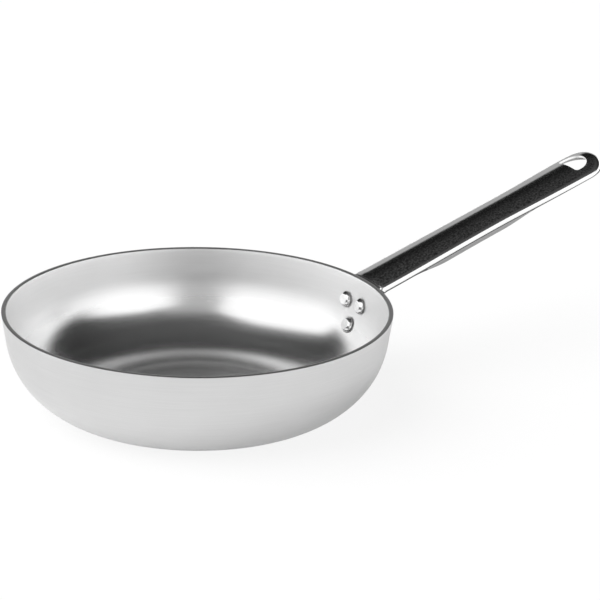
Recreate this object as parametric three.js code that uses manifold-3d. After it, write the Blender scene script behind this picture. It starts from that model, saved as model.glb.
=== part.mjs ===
// Professional aluminium frying pan with a riveted sheet-steel handle.
// Millimetres, +Z up, handle along +X, origin at the centre of the base on the table.

import * as THREE from 'three';
import { mergeVertices } from 'three/addons/utils/BufferGeometryUtils.js';
import Module from 'manifold-3d';

const wasm = await Module();
wasm.setup();

// Bowl: one pressed aluminium disc, its rim turned flat
const RIM_INNER_DIAMETER = 240;
const BOWL_HEIGHT = 65;
const WALL = 3;
const FLARE = THREE.MathUtils.degToRad(8.4);
const STRAIGHT_WALL = 19;
const RIM_EDGE_BREAK = 0.4;

// Rivets: two side by side below the rim and one lower down
const SHANK_DIAMETER = 6;
const HEAD_LIP = 2.4;
const HEAD_HEIGHT = 2.5;
const HEAD_BEVEL = 1.8;
const TAIL_LIP = 1.5;
const TAIL_HEIGHT = 1.8;
const RIM_TO_HEAD = 12;
const HEAD_GAP = 5.9;
const ROW_GAP = 5.3;

// Handle: one sheet of stainless steel, riveted flat at its tongue and folded along its shaft
const SHEET = 1.5;
const SLOPE = THREE.MathUtils.degToRad(18);
const TAIL_TO_EDGE = 4.2;
const TAIL_TO_FOLD = 0.5;
const FOLD_RUN = 5.8;
const FOLD_EASE = 3;
const LIP_BEND_RADIUS = 1.7;
const SHAFT_LENGTH = 191.2;
const ROOT_WIDTH = 34.8;
const WAIST_WIDTH = 32.8;
const TIP_WIDTH = 36.4;
const CROWN_RISE = 5.6;
const TIP_CROWN_RISE = 4.4;
const EDGE_INSIDE_RADIUS = 2.5;
const SIDE_WALL = 1;
const TIP_SIDE_WALL = 0.6;
const TIP_RUN = 60;
const LIP_INSIDE_RADIUS = 3;
const LIP_TURN = THREE.MathUtils.degToRad(80);
const LIP_FROM_BEND = 22;
const LIP_FROM_TIP = 62;
const LIP_RUN_IN = 45;
const LIP_RUN_OUT = 50;
const NOSE_LENGTH = 19;
const NOSE_SQUARENESS = 2.2;
const HOLE_TO_SIDE = 7.7;
const HOLE_TO_TIP = 8.6;
const HOLE_STRAIGHT = 4.1;
const HOLE_CORNER_RADIUS = 2.5;

// Clearance between pieces that touch on the real pan
const CLEARANCE = 0.3;

// Facet counts
const BOWL_SIDES = 80;
const BOWL_BEND_STEPS = 10;
const RIVET_SIDES = 20;
const RIVET_ARC_STEPS = 4;
const CROWN_STEPS = 4;
const EDGE_STEPS = 4;
const LIP_STEPS = 4;
const TONGUE_STEPS = 6;
const HANDLE_BEND_STEPS = 6;
const SHAFT_STEPS = 20;
const NOSE_STEPS = 9;
const HOLE_STEPS = 12;

// Passes that settle where the crown meets the shoulder
const SHOULDER_PASSES = 30;

// Sizes that follow from the ones above
const rimInnerRadius = RIM_INNER_DIAMETER / 2;
const rimOuterRadius = rimInnerRadius + WALL / Math.cos(FLARE);
const baseBend = (BOWL_HEIGHT - STRAIGHT_WALL * Math.cos(FLARE)) / (1 - Math.sin(FLARE));
const baseRadius = rimOuterRadius - STRAIGHT_WALL * Math.sin(FLARE) - baseBend * Math.cos(FLARE);

const shankRadius = SHANK_DIAMETER / 2;
const headRadius = shankRadius + HEAD_LIP;
const tailRadius = shankRadius + TAIL_LIP;
const grip = WALL + CLEARANCE + SHEET;
const halfPitch = headRadius + HEAD_GAP / 2;
const rowDrop = 2 * headRadius + ROW_GAP;
const upperRivetDepth = RIM_TO_HEAD + headRadius;
const lowerRivetDepth = upperRivetDepth + rowDrop;

const tongueMargin = tailRadius + TAIL_TO_EDGE;
const foldStart = upperRivetDepth - tailRadius - TAIL_TO_FOLD;
const bendDepth = foldStart - FOLD_RUN;
const edgeRadius = EDGE_INSIDE_RADIUS + SHEET;
const lipRadius = LIP_INSIDE_RADIUS + SHEET;
const halfWidest = Math.max(ROOT_WIDTH, WAIST_WIDTH, TIP_WIDTH) / 2;
const noseCentre = SHAFT_LENGTH - NOSE_LENGTH;

function smooth(t) {
  return THREE.MathUtils.smoothstep(t, 0, 1);
}

function steps(from, to, count) {
  return Array.from({ length: count + 1 }, (_, i) => from + ((to - from) * i) / count);
}

// From a closed surface to a solid and back

function toSolid(geometry) {
  const bare = geometry.clone();
  bare.deleteAttribute('normal');
  bare.deleteAttribute('uv');
  const merged = mergeVertices(bare);
  const triVerts = [];
  for (let i = 0; i < merged.index.count; i += 3) {
    const corners = [0, 1, 2].map((k) => merged.index.getX(i + k));
    if (new Set(corners).size === 3) triVerts.push(...corners);
  }
  const mesh = new wasm.Mesh({
    numProp: 3,
    vertProperties: new Float32Array(merged.attributes.position.array),
    triVerts: new Uint32Array(triVerts),
  });
  return new wasm.Manifold(mesh);
}

function toGeometry(solid) {
  const mesh = solid.getMesh();
  const geometry = new THREE.BufferGeometry();
  geometry.setAttribute('position', new THREE.BufferAttribute(mesh.vertProperties, 3));
  geometry.setIndex(new THREE.BufferAttribute(mesh.triVerts, 1));
  geometry.computeVertexNormals();
  return geometry;
}

// Outer face of the bowl's wall at a distance down from the rim, moved out along its normal.
// The tilt is how far the wall leans back from upright there.
function wallPoint(depth, out) {
  const past = depth - STRAIGHT_WALL;
  const onBend = past > 0;
  const tilt = onBend ? FLARE + past / baseBend : FLARE;
  const radius = onBend
    ? baseRadius + baseBend * Math.cos(tilt)
    : rimOuterRadius - depth * Math.sin(FLARE);
  const height = onBend
    ? baseBend * (1 - Math.sin(tilt))
    : BOWL_HEIGHT - depth * Math.cos(FLARE);
  return { x: radius + out * Math.cos(tilt), z: height - out * Math.sin(tilt), tilt };
}

// Rivets

const rivetSeats = [
  { name: 'rivet_upper_left', depth: upperRivetDepth, side: 1 },
  { name: 'rivet_upper_right', depth: upperRivetDepth, side: -1 },
  { name: 'rivet_lower', depth: lowerRivetDepth, side: 0 },
];

// A rivet's own Y axis runs out through the wall, starting at the wall's inner face
function rivetPlace(seat) {
  const inner = wallPoint(seat.depth, -WALL);
  const axis = new THREE.Vector3(Math.cos(inner.tilt), 0, -Math.sin(inner.tilt));
  const lay = new THREE.Quaternion().setFromUnitVectors(new THREE.Vector3(0, 1, 0), axis);
  const start = new THREE.Vector3(inner.x, 0, inner.z);
  const unit = new THREE.Vector3(1, 1, 1);
  const around = Math.asin((seat.side * halfPitch) / inner.x);
  return new THREE.Matrix4()
    .makeRotationZ(around)
    .multiply(new THREE.Matrix4().compose(start, lay, unit));
}

// Head with a flat face and a rounded bevel inside the bowl, shank, and a domed tail outside
function rivetGeometry() {
  // The flat underside of the head clears the hollow wall at its edge
  const headSeat = -CLEARANCE - headRadius ** 2 / (2 * (baseBend - WALL));
  const tailSeat = grip + CLEARANCE;
  const faceRadius = headRadius - HEAD_BEVEL;
  const bevel = steps(0, Math.PI / 2, RIVET_ARC_STEPS).map((angle) => new THREE.Vector2(
    faceRadius + HEAD_BEVEL * Math.sin(angle),
    headSeat - HEAD_HEIGHT * Math.cos(angle),
  ));
  const dome = steps(0, Math.PI / 2, RIVET_ARC_STEPS).slice(0, -1).map((angle) => new THREE.Vector2(
    tailRadius * Math.cos(angle),
    tailSeat + TAIL_HEIGHT * Math.sin(angle),
  ));
  const profile = [
    new THREE.Vector2(0, headSeat - HEAD_HEIGHT),
    ...bevel,
    new THREE.Vector2(shankRadius, headSeat),
    new THREE.Vector2(shankRadius, tailSeat),
    ...dome,
    new THREE.Vector2(0, tailSeat + TAIL_HEIGHT),
  ];
  return toGeometry(toSolid(new THREE.LatheGeometry(profile, RIVET_SIDES)));
}

function cutRivetHoles(solid) {
  const radius = shankRadius + CLEARANCE;
  return rivetSeats.reduce((rest, seat) => {
    const cutter = new THREE.CylinderGeometry(radius, radius, 3 * grip, RIVET_SIDES);
    cutter.translate(0, grip / 2, 0);
    return rest.subtract(toSolid(cutter.applyMatrix4(rivetPlace(seat))));
  }, solid);
}

// Bowl: flat base, one wide bend, a short flared wall and a flat rim

function bowlGeometry() {
  const bend = (radius) => steps(Math.PI / 2, FLARE, BOWL_BEND_STEPS).map((tilt) => (
    new THREE.Vector2(baseRadius + radius * Math.cos(tilt), baseBend - radius * Math.sin(tilt))
  ));
  const breakLean = RIM_EDGE_BREAK * Math.tan(FLARE);
  const profile = [
    new THREE.Vector2(0, 0),
    ...bend(baseBend),
    new THREE.Vector2(rimOuterRadius - breakLean, BOWL_HEIGHT - RIM_EDGE_BREAK),
    new THREE.Vector2(rimOuterRadius - RIM_EDGE_BREAK, BOWL_HEIGHT),
    new THREE.Vector2(rimInnerRadius + RIM_EDGE_BREAK, BOWL_HEIGHT),
    new THREE.Vector2(rimInnerRadius - breakLean, BOWL_HEIGHT - RIM_EDGE_BREAK),
    ...bend(baseBend - WALL).reverse(),
    new THREE.Vector2(0, WALL),
  ];
  const bowl = new THREE.LatheGeometry(profile, BOWL_SIDES);
  bowl.rotateX(Math.PI / 2);
  return toGeometry(cutRivetHoles(toSolid(bowl)));
}

// Handle section: half of the folded sheet's top face, from the spine over the crown, round
// the shoulder, down the side wall and under along the lip. Each point holds its distance t
// from the spine, its height n above it, and the angle that its normal has turned.
// A form is the radius of the section's crown and the height of its side wall.

function formAt(s) {
  const tip = smooth((s - noseCentre + TIP_RUN) / TIP_RUN);
  const rise = THREE.MathUtils.lerp(CROWN_RISE, TIP_CROWN_RISE, tip);
  return {
    crown: (halfWidest ** 2 + rise ** 2) / (2 * rise),
    wall: THREE.MathUtils.lerp(SIDE_WALL, TIP_SIDE_WALL, tip),
  };
}

function crownHeight(y, crown) {
  return Math.sqrt(crown ** 2 - y ** 2) - crown;
}

// Where the crown meets the shoulder, on a line from the spine to a side at a given reach.
// The share is 1 on a line straight across the handle, and 0 on one along it.
function shoulderStart(reach, share, crown) {
  let start = reach - edgeRadius;
  let lean = 0;
  for (let i = 0; i < SHOULDER_PASSES; i += 1) {
    const y = start * share;
    lean = Math.atan((share * y) / Math.sqrt(crown ** 2 - y ** 2));
    start = reach - edgeRadius * (1 - Math.sin(lean));
  }
  return { start, lean };
}

// Height of the lower edge of the side wall, straight across the handle
function wallFoot(halfWidth, { crown, wall }) {
  const { start, lean } = shoulderStart(halfWidth, 1, crown);
  return crownHeight(start, crown) - edgeRadius * Math.cos(lean) - wall;
}

function halfSection(reach, share, crown, foot, lipTurn) {
  const { start, lean } = shoulderStart(reach, share, crown);
  const top = steps(0, start, CROWN_STEPS).map((t) => (
    { t, n: crownHeight(t * share, crown), angle: (lean * t) / start }
  ));
  const hubT = start - edgeRadius * Math.sin(lean);
  const hubN = crownHeight(start * share, crown) - edgeRadius * Math.cos(lean);
  const shoulder = steps(lean, Math.PI / 2, EDGE_STEPS).slice(1).map((angle) => (
    { t: hubT + edgeRadius * Math.sin(angle), n: hubN + edgeRadius * Math.cos(angle), angle }
  ));
  const wall = hubN - foot;
  const lip = steps(0, wall + lipRadius * lipTurn, LIP_STEPS).slice(1).map((run) => {
    const turn = Math.max(0, run - wall) / lipRadius;
    return {
      t: reach - lipRadius * (1 - Math.cos(turn)),
      n: hubN - Math.min(run, wall) - lipRadius * Math.sin(turn),
      angle: Math.PI / 2 + turn,
    };
  });
  return [...top, ...shoulder, ...lip];
}

function halfWidthAt(s) {
  const waistAt = (LIP_FROM_BEND + noseCentre) / 2;
  const width = s < waistAt
    ? THREE.MathUtils.lerp(WAIST_WIDTH, ROOT_WIDTH, smooth(1 - s / waistAt))
    : THREE.MathUtils.lerp(WAIST_WIDTH, TIP_WIDTH, smooth((s - waistAt) / (noseCentre - waistAt)));
  return width / 2;
}

function lipTurnAt(s) {
  const runIn = smooth((s - LIP_FROM_BEND) / LIP_RUN_IN);
  const runOut = smooth((SHAFT_LENGTH - LIP_FROM_TIP - s) / LIP_RUN_OUT);
  return LIP_TURN * runIn * runOut;
}

function shaftSection(s) {
  const halfWidth = halfWidthAt(s);
  const form = formAt(s);
  return halfSection(halfWidth, 1, form.crown, wallFoot(halfWidth, form), lipTurnAt(s));
}

const rootSection = shaftSection(0);

// A row of the sheet is a pair of half sections, each point with its top face and underside.
// The fan angle turns the two halves towards the tip, as round the nose.
function sheetRow(section, { origin, along, up }, fan = 0) {
  return [-1, 1].map((side) => section.map((point) => [0, SHEET].map((inset) => {
    const t = point.t - inset * Math.sin(point.angle);
    const n = point.n - inset * Math.cos(point.angle);
    return new THREE.Vector3(0, side * t * Math.cos(fan), 0)
      .add(origin)
      .addScaledVector(along, t * Math.sin(fan))
      .addScaledVector(up, n);
  })));
}

// Frame with its origin on the line of the sheet's top face, leaning by an angle from upright
function leaningFrame(origin, lean) {
  return {
    origin,
    along: new THREE.Vector3(Math.sin(lean), 0, Math.cos(lean)),
    up: new THREE.Vector3(-Math.cos(lean), 0, Math.sin(lean)),
  };
}

function wallFrame(depth) {
  const foot = wallPoint(depth, CLEARANCE);
  return leaningFrame(new THREE.Vector3(foot.x, 0, foot.z), foot.tilt);
}

// Half the width of the tongue, whose edge is an even margin round the three rivets
function tongueHalfWidth(depth) {
  const lean = Math.atan2(halfPitch, rowDrop);
  const rise = tongueMargin * Math.sin(lean);
  if (depth >= lowerRivetDepth + rise) {
    return Math.sqrt(Math.max(0, tongueMargin ** 2 - (depth - lowerRivetDepth) ** 2));
  }
  if (depth >= upperRivetDepth + rise) {
    return (lowerRivetDepth - depth) * Math.tan(lean) + tongueMargin / Math.cos(lean);
  }
  const below = Math.max(0, depth - upperRivetDepth);
  return halfPitch + Math.sqrt(tongueMargin ** 2 - below ** 2);
}

// How far along the section each of its points lies, from 0 at the spine to 1 at the edge
function sectionShares(section) {
  let run = 0;
  const runs = section.map((point, i) => {
    const last = section[Math.max(0, i - 1)];
    run += Math.hypot(point.t - last.t, point.n - last.n);
    return run;
  });
  return runs.map((length) => length / run);
}

// Bend: carries the sheet from the wall's lean over to the shaft's, round one hub

const wallLean = wallPoint(bendDepth, CLEARANCE).tilt;
const shaftLean = Math.PI / 2 - SLOPE;
const bendRadius = LIP_BEND_RADIUS - wallFoot(halfWidthAt(0), formAt(0));
const bendStart = wallFrame(bendDepth);
const bendHub = bendStart.origin.clone().addScaledVector(bendStart.up, -bendRadius);

function bendFrame(lean) {
  const frame = leaningFrame(bendHub.clone(), lean);
  frame.origin.addScaledVector(frame.up, bendRadius);
  return frame;
}

// Root: the tongue hugs the bowl, then folds into the shaft's section while it bends away
function rootRows() {
  const shares = sectionShares(rootSection);
  const roundEnd = steps(0, Math.PI / 2, TONGUE_STEPS).map(
    (angle) => lowerRivetDepth + tongueMargin * Math.cos(angle),
  );
  const riveted = steps(lowerRivetDepth, foldStart, 2 * TONGUE_STEPS).slice(1);
  const folding = steps(foldStart, bendDepth, TONGUE_STEPS).slice(1);
  const tongue = [...roundEnd, ...riveted, ...folding].map((depth) => ({
    frame: wallFrame(depth),
    halfWidth: tongueHalfWidth(depth),
    run: foldStart - depth,
  }));
  const bend = steps(wallLean, shaftLean, HANDLE_BEND_STEPS).slice(1).map((lean) => ({
    frame: bendFrame(lean),
    halfWidth: tongueHalfWidth(bendDepth),
    run: FOLD_RUN + bendRadius * (lean - wallLean),
  }));
  const foldLength = FOLD_RUN + bendRadius * (shaftLean - wallLean);
  const vertical = new THREE.Vector3(0, 0, 1);
  return [...tongue, ...bend].map(({ frame, halfWidth, run }) => {
    const folded = sheetRow(rootSection, frame);
    const flat = 1 - THREE.MathUtils.clamp(run / foldLength, 0, 1);
    const fold = smooth(1 - flat ** FOLD_EASE);
    return [-1, 1].map((side, half) => shares.map((share, i) => [0, SHEET].map((inset, face) => {
      const hugging = frame.origin.clone().addScaledVector(frame.up, -inset);
      hugging.applyAxisAngle(vertical, (side * share * halfWidth) / hugging.x);
      return hugging.lerp(folded[half][i][face], fold);
    })));
  });
}

// Shaft: a straight run, and a nose that the side wall wraps round

function shaftFrame(s) {
  const frame = bendFrame(shaftLean);
  frame.origin.addScaledVector(frame.along, s);
  return frame;
}

function shaftRows() {
  const straight = steps(0, noseCentre, SHAFT_STEPS).slice(1).map(
    (s) => sheetRow(shaftSection(s), shaftFrame(s)),
  );
  const tip = formAt(noseCentre);
  const foot = wallFoot(TIP_WIDTH / 2, tip);
  const nose = steps(0, Math.PI / 2, NOSE_STEPS).slice(1).map((fan) => {
    const share = Math.max(0, Math.cos(fan));
    const across = (share / (TIP_WIDTH / 2)) ** NOSE_SQUARENESS;
    const ahead = (Math.sin(fan) / NOSE_LENGTH) ** NOSE_SQUARENESS;
    const reach = (across + ahead) ** (-1 / NOSE_SQUARENESS);
    return sheetRow(halfSection(reach, share, tip.crown, foot, 0), shaftFrame(noseCentre), fan);
  });
  return [...straight, ...nose];
}

// Join the rows into one closed sheet: top face, underside and the cut edge between them
function sheetGeometry(rows) {
  const corners = [];
  const edge = rows[0][0].length - 1;
  for (let i = 0; i + 1 < rows.length; i += 1) {
    for (let half = 0; half < 2; half += 1) {
      const at = (row, j, face) => rows[row][half][j][face];
      const quad = (a, b, c, d) => {
        const turned = half === 1 ? [a, b, c, a, c, d] : [a, c, b, a, d, c];
        turned.forEach((corner) => corners.push(...corner.toArray()));
      };
      for (let j = 0; j < edge; j += 1) {
        quad(at(i, j, 0), at(i + 1, j, 0), at(i + 1, j + 1, 0), at(i, j + 1, 0));
        quad(at(i, j + 1, 1), at(i + 1, j + 1, 1), at(i + 1, j, 1), at(i, j, 1));
      }
      quad(at(i, edge, 0), at(i + 1, edge, 0), at(i + 1, edge, 1), at(i, edge, 1));
    }
  }
  const geometry = new THREE.BufferGeometry();
  geometry.setAttribute('position', new THREE.Float32BufferAttribute(corners, 3));
  return geometry;
}

// Hanging hole: square with round corners towards the pan, a half circle towards the tip
function hangingHole() {
  const half = TIP_WIDTH / 2 - HOLE_TO_SIDE;
  const corner = Math.min(HOLE_CORNER_RADIUS, half, HOLE_STRAIGHT);
  const roundCentre = SHAFT_LENGTH - HOLE_TO_TIP - half;
  const cornerCentre = roundCentre - HOLE_STRAIGHT + corner;
  const outline = new THREE.Shape();
  outline.absarc(cornerCentre, corner - half, corner, Math.PI, 1.5 * Math.PI);
  outline.absarc(roundCentre, 0, half, -Math.PI / 2, Math.PI / 2);
  outline.absarc(cornerCentre, half - corner, corner, Math.PI / 2, Math.PI);
  outline.closePath();
  const depth = -wallFoot(TIP_WIDTH / 2, formAt(noseCentre));
  const cutter = new THREE.ExtrudeGeometry(outline, {
    depth: 2 * depth,
    bevelEnabled: false,
    curveSegments: HOLE_STEPS,
  });
  cutter.translate(0, 0, -depth);
  const { origin, along, up } = shaftFrame(0);
  const across = new THREE.Vector3(0, 1, 0);
  const place = new THREE.Matrix4().makeBasis(along, across, up).setPosition(origin);
  return toSolid(cutter.applyMatrix4(place));
}

function handleGeometry() {
  const sheet = toSolid(sheetGeometry([...rootRows(), ...shaftRows()]));
  return toGeometry(cutRivetHoles(sheet).subtract(hangingHole()));
}

// The pan

function piece(name, geometry, color, roughness) {
  const material = new THREE.MeshStandardMaterial({ color, roughness, metalness: 1 });
  const mesh = new THREE.Mesh(geometry, material);
  mesh.name = name;
  return mesh;
}

const pan = new THREE.Group();
pan.add(piece('pan_body', bowlGeometry(), 0xd2d3d4, 0.42));
pan.add(piece('handle', handleGeometry(), 0xb9babb, 0.14));
for (const seat of rivetSeats) {
  const rivet = piece(seat.name, rivetGeometry(), 0xdadbdc, 0.25);
  rivet.applyMatrix4(rivetPlace(seat));
  pan.add(rivet);
}

export default pan;
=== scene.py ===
# %% [markdown]
# # A riveted catering pan, from a disc, a sheet and three rivets
# The real pan is five pieces. A thick aluminium disc is pressed into a bowl and turned on a
# lathe, a strip of stainless steel is folded into a handle, and three solid rivets hold the
# two together. This lesson makes each piece the way its maker would, as far as Blender's
# tools allow, and then gives it the finish that the maker's tools leave behind.
#
# The CAD model is loaded first. It fixes where everything is, so it is never moved: each
# piece made here replaces one CAD node and stays in the same place.

# %% Load the CAD model as a fixed frame
import math

import bpy
from mathutils import Matrix, Vector


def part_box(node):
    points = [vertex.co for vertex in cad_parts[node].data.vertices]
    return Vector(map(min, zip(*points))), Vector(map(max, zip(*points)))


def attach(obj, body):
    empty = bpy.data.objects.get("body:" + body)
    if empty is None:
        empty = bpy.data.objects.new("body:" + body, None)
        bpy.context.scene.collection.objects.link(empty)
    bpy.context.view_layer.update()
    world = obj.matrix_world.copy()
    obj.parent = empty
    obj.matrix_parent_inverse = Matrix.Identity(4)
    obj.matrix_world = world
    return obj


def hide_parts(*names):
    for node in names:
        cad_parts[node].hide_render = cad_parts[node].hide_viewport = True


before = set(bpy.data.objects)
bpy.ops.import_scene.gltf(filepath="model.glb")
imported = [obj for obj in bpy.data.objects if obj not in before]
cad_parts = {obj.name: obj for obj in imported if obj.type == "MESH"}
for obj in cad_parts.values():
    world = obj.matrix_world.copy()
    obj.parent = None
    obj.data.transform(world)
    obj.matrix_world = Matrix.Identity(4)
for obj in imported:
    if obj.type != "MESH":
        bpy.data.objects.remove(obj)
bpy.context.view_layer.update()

MM = 0.001
print("CAD nodes:", sorted(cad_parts))

# %% [markdown]
# ## The bowl's shape
# In section the bowl is a flat base, one wide bend and a short straight wall that flares
# outwards. The rim is turned flat. The rim and the height come from the CAD node's box, and
# the rest are the sizes of the real sheet. A helper gives the outer face of the wall at any
# distance down from the rim, because the handle and the rivets sit on that face too.

# %% Section of the bowl, in millimetres
_, bowl_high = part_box("pan_body")
RIM_RADIUS = bowl_high.y / MM
BOWL_HEIGHT = bowl_high.z / MM
WALL = 3.0
FLARE = math.radians(8.4)
STRAIGHT_WALL = 19.0

bend_radius = (BOWL_HEIGHT - STRAIGHT_WALL * math.cos(FLARE)) / (1 - math.sin(FLARE))
base_radius = RIM_RADIUS - STRAIGHT_WALL * math.sin(FLARE) - bend_radius * math.cos(FLARE)


def steps(start, end, count):
    """Evenly spaced values from start to end, both included."""
    return [start + (end - start) * i / count for i in range(count + 1)]


def wall_point(depth, out=0.0):
    """Radius, height and lean of the wall's outer face, at a depth below the rim."""
    past = depth - STRAIGHT_WALL
    tilt = FLARE + max(0.0, past) / bend_radius
    if past > 0:
        radius = base_radius + bend_radius * math.cos(tilt)
        height = bend_radius * (1 - math.sin(tilt))
    else:
        radius = RIM_RADIUS - depth * math.sin(FLARE)
        height = BOWL_HEIGHT - depth * math.cos(FLARE)
    return radius + out * math.cos(tilt), height - out * math.sin(tilt), tilt


print(f"rim {2 * RIM_RADIUS:.1f} mm across, flat base {2 * base_radius:.1f} mm across")

# %% [markdown]
# ## A lathe made of extrudes
# A turned piece is the same all the way round, so it could be drawn as half a section and
# spun. Here a small filled circle is used instead, because it needs no seam: its face is
# extruded up and then scaled about the axis, once for every point of the section.
# The face rides along to the end, so the finished skin is closed from the first centre to
# the last.

# %% Helper: raise a disc ring by ring
LATHE_MERGE = 0.001


def switch_to(mode):
    """Switches to EDIT or OBJECT mode."""
    bpy.ops.object.mode_set(mode=mode)


def only(piece):
    """Selects a piece alone and makes it the active one."""
    bpy.ops.object.select_all(action="DESELECT")
    piece.select_set(True)
    bpy.context.view_layer.objects.active = piece


def close_skin(merge):
    """In edit mode, merges the points that meet and turns every face outwards."""
    bpy.ops.mesh.select_all(action="SELECT")
    bpy.ops.mesh.remove_doubles(threshold=merge * MM)
    bpy.ops.mesh.normals_make_consistent(inside=False)


def turn_on_lathe(name, section, sides):
    """Makes a closed solid from a section of (radius, height) points, in millimetres."""
    radius, height = section[0]
    bpy.ops.mesh.primitive_circle_add(
        vertices=sides, radius=radius * MM, fill_type="NGON", location=(0, 0, height * MM)
    )
    piece = bpy.context.object
    piece.name = piece.data.name = name
    bpy.ops.object.transform_apply(location=True, rotation=False, scale=False)
    switch_to("EDIT")
    bpy.ops.mesh.select_all(action="SELECT")
    for next_radius, next_height in section[1:]:
        rise = (0, 0, (next_height - height) * MM)
        grow = next_radius / radius
        bpy.ops.mesh.extrude_region_move(TRANSFORM_OT_translate={"value": rise})
        bpy.ops.transform.resize(
            value=(grow, grow, 1), center_override=(0, 0, next_height * MM)
        )
        radius, height = next_radius, next_height
    close_skin(LATHE_MERGE)
    switch_to("OBJECT")
    return piece


def say_mesh(piece):
    """Prints how many faces a piece has and how large it is."""
    size = [round(length / MM, 1) for length in piece.dimensions]
    print(f"{piece.name}: {len(piece.data.polygons)} faces, {size} mm")


# %% [markdown]
# ## Pressing and turning the bowl
# The section starts at the centre of the base, runs out along the table, up the outside,
# over the rim and back down the inside to the centre of the cooking surface. A few extra
# rings on the flat parts keep the smooth shading of the bend from spreading over them. The
# two corners of the rim are sharp at first, and are broken with a small bevel, as a maker
# breaks a turned edge so that it doesn't cut. The short edges across the rim are picked with
# them. Those lie in a flat face, so the bevel leaves them flat.

# %% Turn the bowl
BOWL_SIDES = 256
BEND_STEPS = 26
WALL_STEPS = 6
FLAT_RINGS = (0.02, 0.3, 0.6, 0.9, 0.98)


def bend_ring(radius, tilt):
    """A point of the bend, seen from the bend's own centre."""
    return (base_radius + radius * math.cos(tilt), bend_radius - radius * math.sin(tilt))


inner_bend = bend_radius - WALL
inner_rim_radius = RIM_RADIUS - WALL / math.cos(FLARE)
outer_flat = [(base_radius * share, 0.0) for share in FLAT_RINGS]
outer_bend = [bend_ring(bend_radius, tilt) for tilt in steps(math.pi / 2, FLARE, BEND_STEPS)]
outer_wall = [wall_point(depth)[:2] for depth in steps(STRAIGHT_WALL, 0, WALL_STEPS)[1:]]
inner_wall = [
    (inner_rim_radius - run * math.tan(FLARE), BOWL_HEIGHT - run)
    for run in steps(0, BOWL_HEIGHT - bend_ring(inner_bend, FLARE)[1], WALL_STEPS)[:-1]
]
inner_bowl = [bend_ring(inner_bend, tilt) for tilt in steps(FLARE, math.pi / 2, BEND_STEPS)]
inner_flat = [(base_radius * share, WALL) for share in reversed(FLAT_RINGS)]
bowl_section = outer_flat + outer_bend + outer_wall + inner_wall + inner_bowl + inner_flat

bowl = turn_on_lathe("turned_bowl", bowl_section, BOWL_SIDES)
say_mesh(bowl)

# %% Break the edges of its rim
RIM_EDGE_BREAK = 0.5
SAME_PLACE = 0.1


def pick(piece, kind, items, wanted):
    """Opens edit mode on points (VERT) or edges (EDGE), with only the wanted ones selected."""
    only(piece)
    switch_to("EDIT")
    bpy.ops.mesh.select_mode(type=kind)
    bpy.ops.mesh.select_all(action="DESELECT")
    switch_to("OBJECT")
    for item in items:
        item.select = wanted(item)
    switch_to("EDIT")


def on_rim(edge):
    """True for an edge of the flat rim, which has both ends at the top of the bowl."""
    ends = (bowl.data.vertices[i].co for i in edge.vertices)
    return all(abs(end.z / MM - BOWL_HEIGHT) < SAME_PLACE for end in ends)


pick(bowl, "EDGE", bowl.data.edges, on_rim)
bpy.ops.mesh.bevel(offset=RIM_EDGE_BREAK * MM, segments=4, profile=0.5, affect="EDGES")
switch_to("OBJECT")
say_mesh(bowl)

# %% [markdown]
# ## Where the rivets go
# Each rivet runs through the wall and the handle's tongue, square to the wall. Two
# sit side by side below the rim and the third lies lower, on the centre line. A matrix says
# where each one is: its own Z axis points out of the bowl, starting at the wall's inner face.

# %% Places of the three rivets
SHEET = 1.5
CLEARANCE = 0.3
SHANK_RADIUS = 3.0
HEAD_RADIUS = 5.4
TAIL_RADIUS = 4.5
RIM_TO_HEAD = 12.0
HEAD_GAP = 5.9
ROW_GAP = 5.3

grip = WALL + CLEARANCE + SHEET
half_pitch = HEAD_RADIUS + HEAD_GAP / 2
row_drop = 2 * HEAD_RADIUS + ROW_GAP
upper_depth = RIM_TO_HEAD + HEAD_RADIUS
lower_depth = upper_depth + row_drop
RIVET_SEATS = {
    "rivet_upper_left": (upper_depth, 1),
    "rivet_upper_right": (upper_depth, -1),
    "rivet_lower": (lower_depth, 0),
}


def rivet_place(depth, side):
    """Matrix of a rivet, in metres, with its Z axis out through the wall."""
    radius, height, tilt = wall_point(depth, -WALL)
    around = math.asin(side * half_pitch / radius)
    outwards = Matrix.Rotation(math.pi / 2 + tilt, 4, "Y")
    start = Matrix.Translation((radius * MM, 0, height * MM))
    return Matrix.Rotation(around, 4, "Z") @ start @ outwards


for node, seat in RIVET_SEATS.items():
    place = rivet_place(*seat).translation / MM
    print(node, "starts at", [round(c, 1) for c in place])

# %% [markdown]
# ## Cutting holes
# Every hole is a Boolean: a cutter object is placed, subtracted and deleted again. The
# rivet holes go through the bowl and, later, through the handle's tongue, so the cut is a
# helper. The cutter is a cylinder longer than the grip, so that it clears both faces.

# %% Helper: subtract a cutter, and drill the rivet holes
HOLE_SIDES = 48
DRILL_LENGTH = 3 * grip
CRISP_FROM = 32


def cut_away(piece, cutter):
    """Subtracts the cutter from the piece and removes the cutter."""
    cut = piece.modifiers.new("cut", "BOOLEAN")
    cut.operation = "DIFFERENCE"
    cut.solver = "EXACT"
    cut.object = cutter
    bpy.context.view_layer.objects.active = piece
    bpy.ops.object.modifier_apply(modifier=cut.name)
    bpy.data.objects.remove(cutter, do_unlink=True)


def drill_rivet_holes(piece):
    """Drills the three rivet holes through a piece."""
    for seat in RIVET_SEATS.values():
        bpy.ops.mesh.primitive_cylinder_add(
            vertices=HOLE_SIDES, radius=(SHANK_RADIUS + CLEARANCE) * MM, depth=DRILL_LENGTH * MM
        )
        cutter = bpy.context.object
        cutter.matrix_world = rivet_place(*seat) @ Matrix.Translation((0, 0, grip / 2 * MM))
        bpy.context.view_layer.update()
        cut_away(piece, cutter)


def smooth_by_angle(piece, degrees):
    """Smooth shading, with edges sharper than the angle kept crisp."""
    only(piece)
    bpy.ops.object.shade_smooth_by_angle(angle=math.radians(degrees))


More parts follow.
